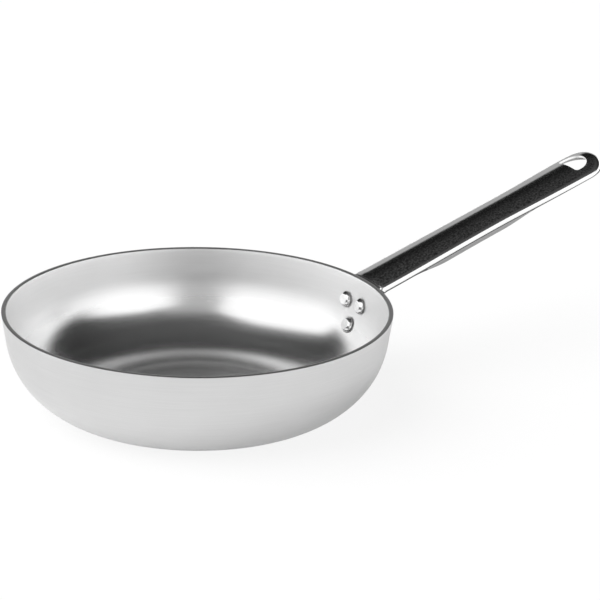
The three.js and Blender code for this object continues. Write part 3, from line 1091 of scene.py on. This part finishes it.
handle_finishes = [
    # Its dark pits on the near half are painted reflection mottle.
    tumbled_steel("peeled_steel", 0.22, 0.96, peel_depth=0.16),
    # The rolled sheet's grey, made darker still as painted shade.
    plain_steel_and_shade("rolled_steel_and_shade", 0.30, 0.40, rough=0.38),
    # Near-black steel, which is painted shade along the fold and the cut edge, and a painted dark
    # reflection at the bend.
    plain_steel_and_shade("painted_shade_steel", 0.10, 0.16, rough=0.5),
    tumbled_steel("polished_steel", 0.84, 0.90, peel_depth=0.01),
]
print("made", [finish.name for finish in handle_finishes])

# %% [markdown]
# ## Bright rivets
# The rivets are soft aluminium, pressed smooth by the die that closes them, with a few
# shallow dents. The foot of the head gets the same finish in a darker grey, which is painted
# shade for the dark line where it meets the wall.

# %% Finish of the rivets
DENT_SCALE = 420.0
DENT_BUMP = (0.15, 0.15 * MM)
DIE_SKIN_SCALE = 1800.0
DIE_ROUGH = (0.07, 0.13)


def pressed_aluminium(name, dark, light):
    """Smooth aluminium with shallow dents."""
    recipe = Recipe(bpy.data.materials.new(name))
    dents = recipe.noise(recipe.place, DENT_SCALE)
    skin = recipe.noise(recipe.place, DIE_SKIN_SCALE)
    return recipe.finish(
        Base_Color=recipe.tint(recipe.spread(dents, 0.0, 1.0), dark, light),
        Roughness=recipe.spread(skin, *DIE_ROUGH),
        Metallic=1.0,
        Normal=recipe.bump(dents, *DENT_BUMP),
    )


rivet_finishes = [
    pressed_aluminium("pressed_aluminium", 0.86, 0.94),
    # A darker copy of the rivets' finish, which is painted shade at the head's foot.
    pressed_aluminium("crevice_shade", 0.26, 0.34),
]
print("made", [finish.name for finish in rivet_finishes])

# %% [markdown]
# ## Handing the pieces to the frame
# Each piece gets its finish, rides on the pan's one body, and takes the place of the CAD node
# that it stands for, which is hidden. The bowl has three finishes, so its faces are sorted:
# those at the top that look up are the rim, and of the others a face that looks away from the
# axis or down is on the outside.

# %% Dress the pieces and tie them to the frame
INSIDE, OUTSIDE, RIM = range(3)
RIM_BAND = 0.9 * RIM_EDGE_BREAK
RIM_LOOKS_UP = 0.25
LOOKS_AWAY = 0.2


def hand_over(piece, finishes, node):
    """Puts the finishes in a piece's slots and ties the piece to the frame."""
    for place, finish in enumerate(finishes):
        piece.data.materials[place] = finish
    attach(piece, "root")
    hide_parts(node)


def bowl_finish_at(face):
    """The finish of a face of the bowl. The rim has its broken edges with it."""
    near_top = face.center.z > bowl_high.z - RIM_BAND * MM
    if near_top and face.normal.z > RIM_LOOKS_UP:
        return RIM
    away = face.normal.to_2d().dot(face.center.to_2d().normalized())
    return OUTSIDE if away > LOOKS_AWAY or face.normal.z < -LOOKS_AWAY else INSIDE


open_slots(bowl, len(bowl_finishes))
for face in bowl.data.polygons:
    face.material_index = bowl_finish_at(face)
print("faces of the rim:", sum(face.material_index == RIM for face in bowl.data.polygons))
hand_over(bowl, bowl_finishes, "pan_body")
hand_over(handle, handle_finishes, "handle")
for node, rivet in rivets.items():
    hand_over(rivet, rivet_finishes, node)

# %% [markdown]
# ## Floor and light
# Metal shows what is round it, so the studio is most of the look. The floor is white. To
# the camera it shines as plain white paper, with a small share of matt paint that keeps the
# pan's shadow, and the metal sees less of the shine. Overhead the room is dark. Two large
# soft boxes stand in front, left and right, with a weaker fill between them. A pale horizon
# runs round the room, and behind the pan hangs a grey backdrop, which the handle's crown
# mirrors. One wide lamp, which the metal doesn't mirror, keeps the floor white.

# %% White floor that keeps the shadow
FLOOR_SIZE = 16.0
FLOOR_DROP = 0.2
CAMERA_GLOW = 0.86
MIRROR_GLOW = 0.3
PAINT = (0.8, 0.8, 0.8, 1.0)

bpy.ops.mesh.primitive_plane_add(size=FLOOR_SIZE, location=(0, 0, -FLOOR_DROP * MM))
floor = bpy.context.object
floor.name = "studio_floor"


def white_paper():
    """Matt white that also shines for the camera and for reflections."""
    recipe = Recipe(bpy.data.materials.new("white_paper"))
    recipe.finish(Base_Color=PAINT, Roughness=1.0)
    rays = recipe.add("ShaderNodeLightPath").outputs
    mirrored = recipe.sum("MULTIPLY", rays["Is Glossy Ray"], MIRROR_GLOW)
    seen = recipe.sum("MULTIPLY", rays["Is Camera Ray"], CAMERA_GLOW)
    share = recipe.sum("MAXIMUM", seen, mirrored)
    glow = recipe.fill(recipe.add("ShaderNodeEmission"), Strength=1.0)
    blend = recipe.add("ShaderNodeMixShader")
    for source, socket in zip((share, recipe.shader.outputs[0], glow.outputs[0]), blend.inputs):
        recipe.wire(source, socket)
    recipe.wire(blend.outputs[0], recipe.tree.nodes["Material Output"].inputs["Surface"])
    return recipe.owner


floor.data.materials.append(white_paper())
print(f"floor {FLOOR_SIZE} m across")

# %% Soft boxes
CAMERA_AZIMUTH = math.radians(-29.8)
NOT_BEHIND = 0.001
SOFT_BOXES = {
    "left_box": {
        "azimuth": 300, "strength": 1.18, "slant": -0.8,
        "left": (-1.12, -0.96), "right": (1.15, 0.80), "top": (1.95, 1.55),
    },
    "right_box": {
        "azimuth": 45, "strength": 1.25, "slant": 0.42,
        "left": (-0.90, -0.35), "right": (1.20, 0.40), "top": (1.12, 0.94),
    },
    "front_fill": {
        "azimuth": 0, "strength": 0.44, "slant": 0.0,
        "left": (-0.80, -0.50), "right": (0.80, 0.50), "top": (2.20, 0.90),
    },
}


def towards_light(azimuth, elevation):
    """Direction to a light, with azimuth 0 on the camera's side, growing to its right."""
    turn = math.radians(azimuth) + CAMERA_AZIMUTH
    lift = math.radians(elevation)
    flat = math.cos(lift)
    return (math.sin(turn) * flat, -math.cos(turn) * flat, math.sin(lift))


def soft_box(recipe, azimuth, strength, slant, left, right, top):
    """An upright panel with soft edges, measured as shares of its distance from the pan."""
    ahead = recipe.along(towards_light(azimuth, 0))
    ahead = recipe.sum("MAXIMUM", ahead, NOT_BEHIND)
    aside = recipe.along(towards_light(azimuth + 90, 0))
    across = recipe.sum("DIVIDE", aside, ahead)
    lean = recipe.sum("MAXIMUM", recipe.sum("MULTIPLY", across, slant), 0.0)
    height = recipe.sum("ADD", recipe.sum("DIVIDE", recipe.along((0, 0, 1)), ahead), lean)
    shape = recipe.fade(height, *top)
    for edge in (left, right):
        shape = recipe.sum("MULTIPLY", shape, recipe.fade(across, *edge))
    return recipe.sum("MULTIPLY", shape, strength)


print("soft boxes:", list(SOFT_BOXES))

# %% The dark room round them
def waves(wave, *degrees):
    """Sines of elevations, which are heights, or cosines of the angles between headings."""
    return [wave(math.radians(angle)) for angle in degrees]


CEILING_GREY = 0.012
ZENITH_GREY = 0.03
ZENITH_FROM = waves(math.sin, 38, 72)
HALO_FOCUS = 4.0
HALOS = ((300, 30, 0.12), (45, 25, 0.08))
HORIZON_GREY = 1.8
HORIZON_SIDES = waves(math.cos, 60, 80)
HORIZON_TOP = waves(math.sin, 26, 10)
BACKDROP_GREY = 0.39
BACKDROP_TOP = waves(math.sin, 27, 23)
BACKDROP_AZIMUTH = 184
BACKDROP_SPREAD = waves(math.cos, 40, 12)


def soft_studio():
    """A dark room with soft boxes in front, a pale horizon and a grey backdrop behind."""
    recipe = Recipe(bpy.data.worlds.new("soft_studio"), "Background", "Generated")
    height = recipe.along((0, 0, 1))
    heading = recipe.vector("NORMALIZE", recipe.flat())
    behind = recipe.vector("DOT_PRODUCT", heading, towards_light(BACKDROP_AZIMUTH, 0))
    behind = recipe.fade(behind, *BACKDROP_SPREAD)
    backdrop = recipe.sum("MULTIPLY", behind, recipe.fade(height, *BACKDROP_TOP))
    horizon = recipe.fade(height, *HORIZON_TOP)
    horizon = recipe.sum("MULTIPLY", horizon, recipe.sum("SUBTRACT", 1.0, behind))
    in_front = recipe.vector("DOT_PRODUCT", heading, towards_light(0, 0))
    horizon = recipe.sum("MULTIPLY", horizon, recipe.fade(in_front, *HORIZON_SIDES))
    overhead = recipe.fade(height, *ZENITH_FROM)
    total = recipe.sum("MULTIPLY_ADD", overhead, ZENITH_GREY, CEILING_GREY)
    for azimuth, elevation, strength in HALOS:
        nearness = recipe.along(towards_light(azimuth, elevation))
        fade = recipe.sum("MULTIPLY_ADD", nearness, HALO_FOCUS, -HALO_FOCUS)
        glow = recipe.sum("MULTIPLY", recipe.sum("EXPONENT", fade), strength)
        total = recipe.sum("ADD", glow, total)
    for shape, grey in ((backdrop, BACKDROP_GREY), (horizon, HORIZON_GREY)):
        total = recipe.sum("MAXIMUM", recipe.sum("MULTIPLY", shape, grey), total)
    for box in SOFT_BOXES.values():
        total = recipe.sum("MAXIMUM", soft_box(recipe, **box), total)
    return recipe.finish(Strength=total, Color=(1.0, 1.0, 1.0, 1.0))


bpy.context.scene.world = soft_studio()
print("world:", bpy.context.scene.world.name)

# %% A wide lamp for the floor alone
FLOOR_LAMP_STRENGTH = 4.0
FLOOR_LAMP_ANGLE = math.radians(70)
FLOOR_LAMP_FROM = (285, 48)

bpy.ops.object.light_add(type="SUN")
floor_lamp = bpy.context.object
floor_lamp.name = "floor_lamp"
shines_from = Vector(towards_light(*FLOOR_LAMP_FROM))
floor_lamp.rotation_euler = shines_from.to_track_quat("Z", "Y").to_euler()
floor_lamp.data.energy = FLOOR_LAMP_STRENGTH
floor_lamp.data.angle = FLOOR_LAMP_ANGLE
floor_lamp.visible_glossy = False
print("floor lamp:", FLOOR_LAMP_STRENGTH)

# %% [markdown]
# ## The camera
# The photograph was taken with a long lens from a little above the rim, with the handle
# turned away from the camera. These values were found by fitting the rim's ellipse and the
# handle's edges, so the render can be laid over the photograph.

# %% Camera
IMAGE_WIDTH = 600
SENSOR_WIDTH = 36.0
FARTHEST = 100.0
FOCAL_PIXELS = 2385.07
CAMERA_DISTANCE = 1500.0
CAMERA_ELEVATION = 0.33971
CAMERA_ROLL = 0.020506
AIM_HEIGHT = 64.72
AIM = Vector((64.062, 0, 70.214))

turned = Matrix.Rotation(CAMERA_AZIMUTH, 3, "Z")
eye = Vector((
    0,
    -CAMERA_DISTANCE * math.cos(CAMERA_ELEVATION),
    AIM_HEIGHT + CAMERA_DISTANCE * math.sin(CAMERA_ELEVATION),
))
forward = (AIM - eye).normalized()
level = forward.cross(Vector((0, 0, 1))).normalized()
upright = level.cross(forward)
right = math.cos(CAMERA_ROLL) * level + math.sin(CAMERA_ROLL) * upright
top = math.cos(CAMERA_ROLL) * upright - math.sin(CAMERA_ROLL) * level
looks = Matrix((turned @ right, turned @ top, turned @ -forward)).transposed().to_4x4()

bpy.ops.object.camera_add()
camera = bpy.context.object
camera.matrix_world = Matrix.Translation(turned @ eye * MM) @ looks
camera.data.sensor_width = SENSOR_WIDTH
camera.data.lens = SENSOR_WIDTH * FOCAL_PIXELS / IMAGE_WIDTH
camera.data.clip_end = FARTHEST
bpy.context.scene.camera = camera
bpy.context.scene.view_settings.view_transform = "Standard"
print(f"camera with a {camera.data.lens:.1f} mm lens")
